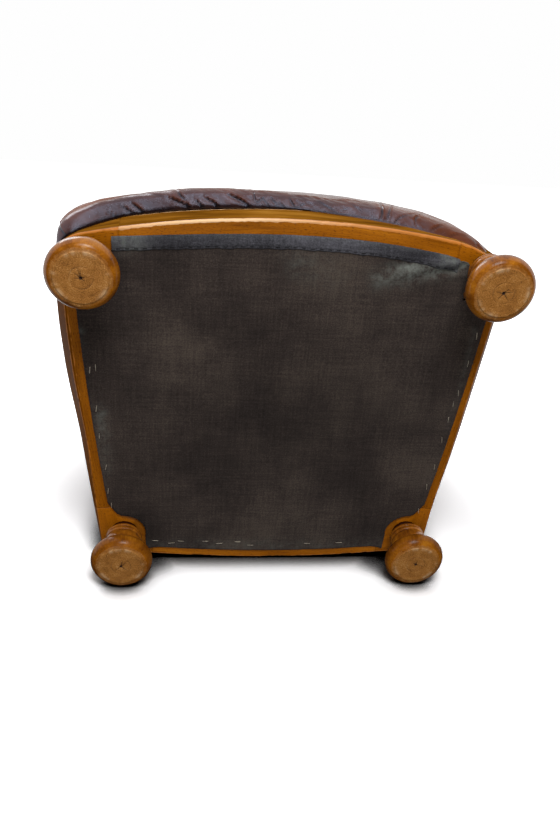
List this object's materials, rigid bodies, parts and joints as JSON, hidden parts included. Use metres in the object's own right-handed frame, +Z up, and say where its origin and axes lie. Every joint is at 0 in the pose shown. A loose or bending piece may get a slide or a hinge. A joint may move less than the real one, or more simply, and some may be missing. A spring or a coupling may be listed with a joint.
{
  "type": "wingback chair",
  "caption": "Leather wing armchair with a raked back, scroll arms and a bowed show-wood seat frame on turned bun feet, closed below by a stapled dust cover.",
  "frame": {"origin": "on the ground, under the middle of the chair's box", "axes": "+Z up, -Y towards the chair's front, +X to the sitter's left hand, which is on the right as seen from the front"},
  "size_m": [0.681, 0.7801, 1.054],
  "materials": {
    "show_wood": "polished",
    "frame_wood": "sawn",
    "leather": "polished, worn",
    "webbing": "woven",
    "deck_cloth": "woven",
    "dust_cover": "woven",
    "steel": "zinc plated",
    "staple_wire": "dull"
  },
  "bodies": {
    "root": {"front_left_foot": "show_wood", "front_right_foot": "show_wood", "rear_left_foot": "show_wood", "rear_right_foot": "show_wood", "foot_studs": "steel", "corner_blocks": "show_wood", "front_rail": "show_wood", "rear_rail": "show_wood", "left_side_rail": "show_wood", "right_side_rail": "show_wood", "frame_dowels": "frame_wood", "left_arm_post": "frame_wood", "right_arm_post": "frame_wood", "left_arm_rail": "frame_wood", "right_arm_rail": "frame_wood", "left_back_post": "frame_wood", "right_back_post": "frame_wood", "back_top_rail": "frame_wood", "back_lower_rail": "frame_wood", "left_wing_frame": "frame_wood", "right_wing_frame": "frame_wood", "seat_webbing": "webbing", "cross_webbing": "webbing", "deck_cloth": "deck_cloth", "back_webbing": "webbing", "seat_cushion": "leather", "seat_front_roll": "leather", "back_cushion": "leather", "crest_roll": "leather", "left_arm_pad": "leather", "right_arm_pad": "leather", "left_arm_scroll": "leather", "right_arm_scroll": "leather", "left_arm_facing": "leather", "right_arm_facing": "leather", "left_outer_arm": "leather", "right_outer_arm": "leather", "left_wing_pad": "leather", "right_wing_pad": "leather", "left_outer_wing": "leather", "right_outer_wing": "leather", "outside_back": "leather", "dust_cover": "dust_cover", "cover_staples": "staple_wire"}
  },
  "joints": []
}
